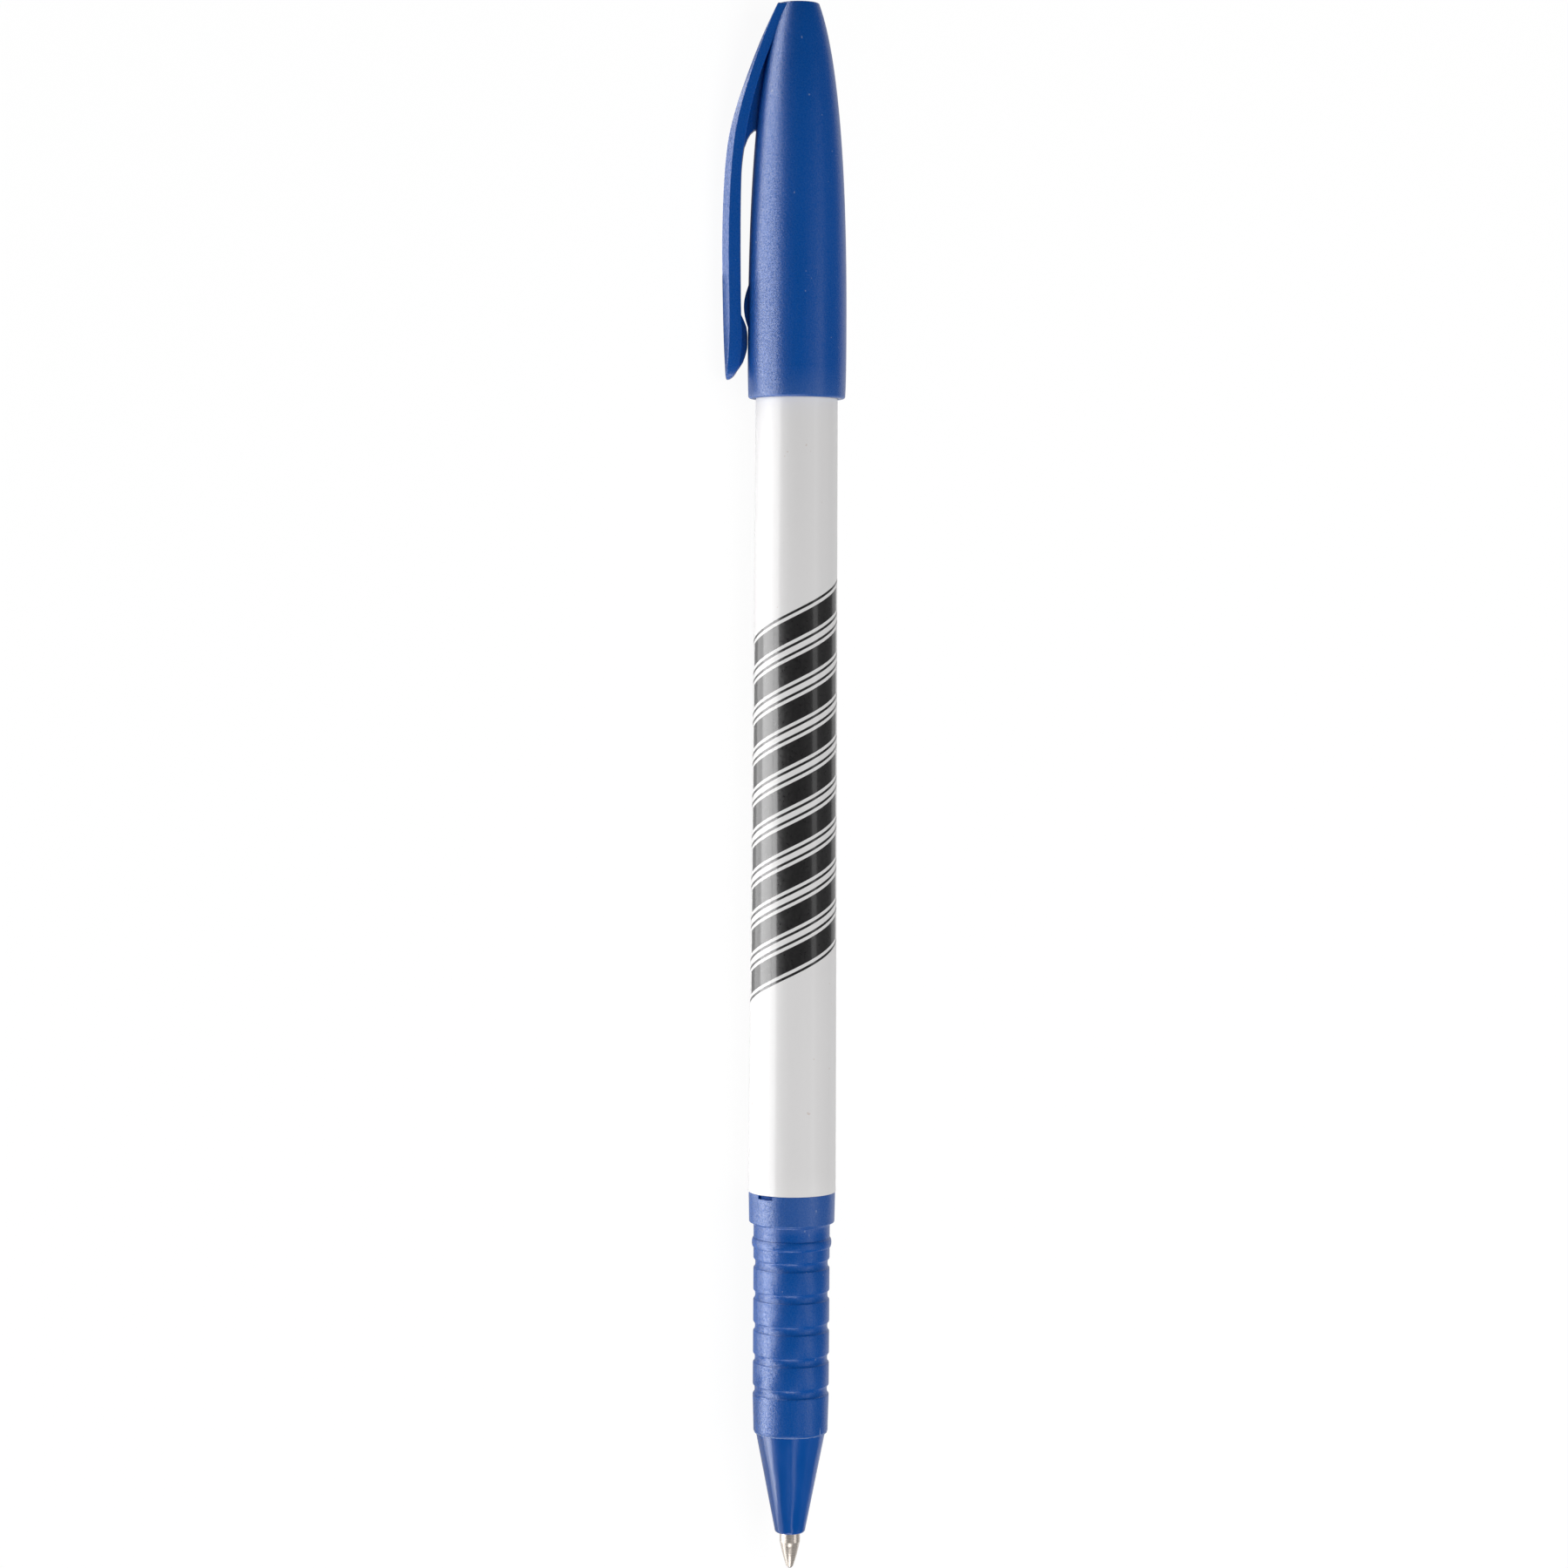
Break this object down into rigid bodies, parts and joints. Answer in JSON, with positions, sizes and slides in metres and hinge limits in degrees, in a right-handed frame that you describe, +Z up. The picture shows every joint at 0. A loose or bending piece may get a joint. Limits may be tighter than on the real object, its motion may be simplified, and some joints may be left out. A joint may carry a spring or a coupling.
{
  "type": "capped ballpoint pen",
  "caption": "Stick ballpoint pen with a ribbed finger grip, a tapered tube barrel and a clip cap posted on its rear end.",
  "frame": {"origin": "on the desk, under the middle of the pen's bounding box", "axes": "+X along the pen from the cap to the writing ball, +Z up from the desk, the clip towards -Y and down to the desk"},
  "size_m": [0.1744, 0.0132, 0.0109],
  "materials": {
    "cap_plastic": "finely textured matte, moulded",
    "barrel_plastic": "smooth gloss white, opaque",
    "plug_plastic": "smooth moulded",
    "grip_plastic": "finely textured matte, moulded",
    "nose_plastic": "smooth semi-gloss, moulded",
    "tube_plastic": "milky extruded tube",
    "ink": "thick dark blue ink, wet",
    "holder_plastic": "natural moulded plastic",
    "point_metal": "turned nickel silver, fine lathe lines",
    "ball_metal": "polished tungsten carbide"
  },
  "bodies": {
    "pen": {"barrel": "barrel_plastic", "rear_plug": "plug_plastic", "grip_sleeve": "grip_plastic", "nose_cone": "nose_plastic", "refill_tube": "tube_plastic", "ink_column": "ink", "point_holder": "holder_plastic", "point_housing": "point_metal"},
    "cap": {"cap_shell": "cap_plastic"},
    "clip": {"pocket_clip": "cap_plastic"},
    "ball": {"writing_ball": "ball_metal"}
  },
  "joints": [
    {"name": "cap_pull", "type": "slide", "parent": "pen", "child": "cap", "axis": [-1, 0, 0], "range_m": [0, 0.02]},
    {"name": "clip_flex", "type": "hinge", "parent": "cap", "child": "clip", "pos_m": [-0.07232, -0.0047, 0.00199], "axis": [0, 0.5129, -0.8584], "range_deg": [0, 5], "stiffness_Nm_per_rad": 0.9},
    {"name": "ball_roll", "type": "hinge", "parent": "pen", "child": "ball", "pos_m": [0.08686, 0.00112, 0.00547], "axis": [0, 0.5129, -0.8584], "continuous": true}
  ]
}
